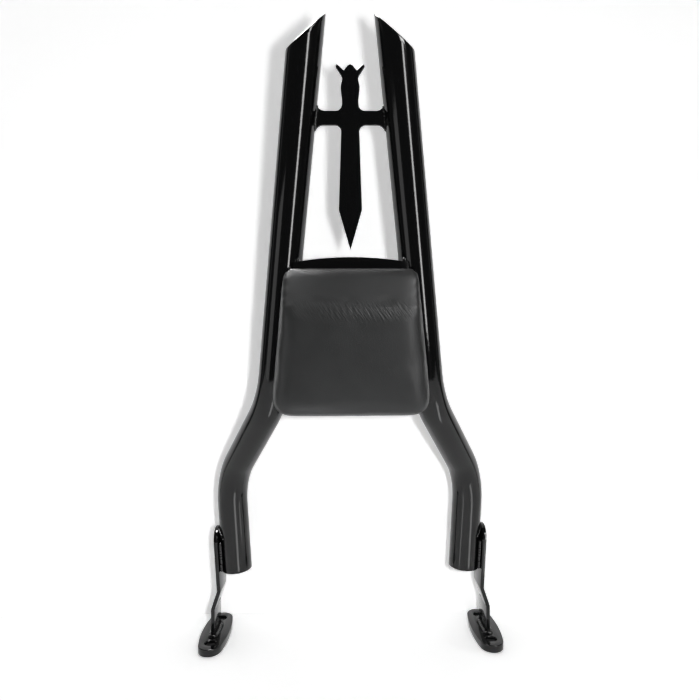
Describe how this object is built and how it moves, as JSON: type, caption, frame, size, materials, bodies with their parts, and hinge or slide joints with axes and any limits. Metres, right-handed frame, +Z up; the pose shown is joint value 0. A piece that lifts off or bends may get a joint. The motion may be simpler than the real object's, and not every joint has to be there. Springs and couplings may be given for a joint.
{
  "type": "sissy bar",
  "caption": "Gloss black motorcycle sissy bar: bent, slash-cut tubes, a cut-out dagger plate between them, a black vinyl backrest pad and slotted bolt-down feet",
  "frame": {"origin": "the middle of the four foot bolts, on the underside of the feet", "axes": "+X to the right-hand foot as seen from the padded front, -Y towards the padded front (the motorcycle's front), +Z up"},
  "size_m": [0.3246, 0.1738, 0.6025],
  "materials": {
    "gloss_black": "gloss black powder coat over welded mild steel",
    "vinyl": "fine-grained black upholstery vinyl, semi-matte",
    "foam": "bonded polyurethane foam",
    "board": "moulded ABS base board",
    "zinc": "zinc-plated steel"
  },
  "bodies": {
    "root": {"left_tube": "gloss_black", "right_tube": "gloss_black", "left_slash_cap": "gloss_black", "right_slash_cap": "gloss_black", "left_lower_cap": "gloss_black", "right_lower_cap": "gloss_black", "left_strut": "gloss_black", "right_strut": "gloss_black", "left_foot": "gloss_black", "right_foot": "gloss_black", "left_strut_weld": "gloss_black", "right_strut_weld": "gloss_black", "left_foot_weld": "gloss_black", "right_foot_weld": "gloss_black", "dagger_plate": "gloss_black", "left_guard_weld": "gloss_black", "right_guard_weld": "gloss_black", "pad_mount_plate": "gloss_black", "left_plate_weld": "gloss_black", "right_plate_weld": "gloss_black", "pad_board": "board", "pad_foam": "foam", "pad_cover": "vinyl", "pad_tee_nuts": "zinc", "pad_screws": "zinc", "pad_washers": "zinc"}
  },
  "joints": []
}
